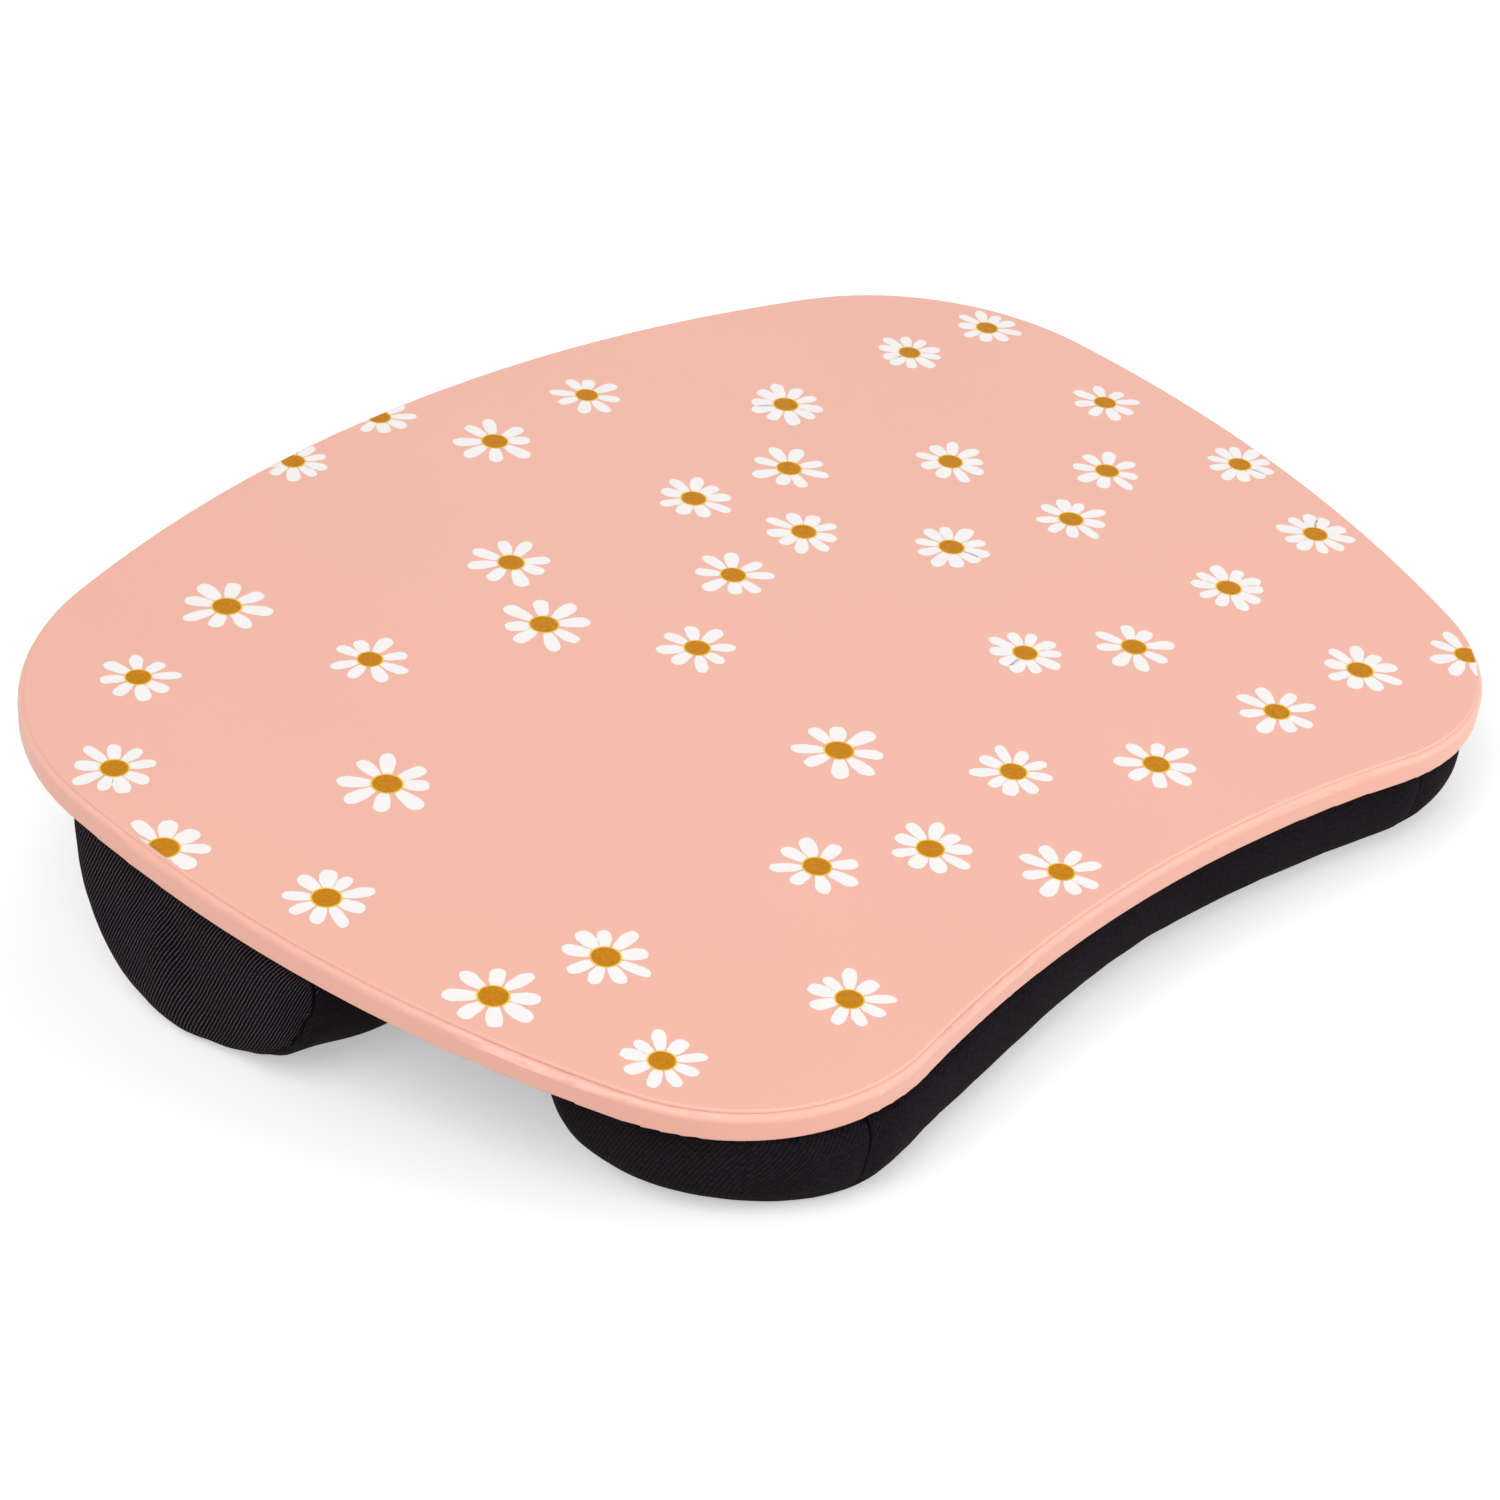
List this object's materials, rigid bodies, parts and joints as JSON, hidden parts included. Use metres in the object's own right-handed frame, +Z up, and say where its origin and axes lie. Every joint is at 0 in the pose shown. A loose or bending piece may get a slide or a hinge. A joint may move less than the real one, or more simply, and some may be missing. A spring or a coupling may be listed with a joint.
{
  "type": "lap tray",
  "caption": "Lap tray: kidney-shaped laminated board with a rounded edge band, sloping towards the user on a black bead-filled bolster cushion",
  "frame": {"origin": "on the surface the cushion rests on, under the middle of the whole part's bounding box", "axes": "+X to the user's right, +Y away from the user, +Z up; the board slopes down towards the user, -Y"},
  "size_m": [0.431, 0.3325, 0.0851],
  "materials": {
    "printed_laminate": "satin salmon-pink laminate printed with scattered white daisies",
    "fibreboard": "bare medium-density fibreboard",
    "backing_paper": "plain matt dark backing sheet",
    "pink_edge_plastic": "satin salmon-pink edge band",
    "hot_melt_glue": "set hot-melt glue",
    "black_twill": "near-black woven twill",
    "foam_beads": "white expanded polystyrene beads"
  },
  "bodies": {
    "root": {"printed_top_sheet": "printed_laminate", "board_core": "fibreboard", "backing_sheet": "backing_paper", "edge_band": "pink_edge_plastic", "glue_strips": "hot_melt_glue", "cushion_base_panel": "black_twill", "rear_bolster_body_panel": "black_twill", "rear_bolster_left_end": "black_twill", "rear_bolster_right_end": "black_twill", "rear_bolster_bead_fill": "foam_beads", "front_bolster_bottom_panel": "black_twill", "front_bolster_front_band": "black_twill", "front_bolster_left_end": "black_twill", "front_bolster_right_end": "black_twill", "front_bolster_bead_fill": "foam_beads"}
  },
  "joints": []
}
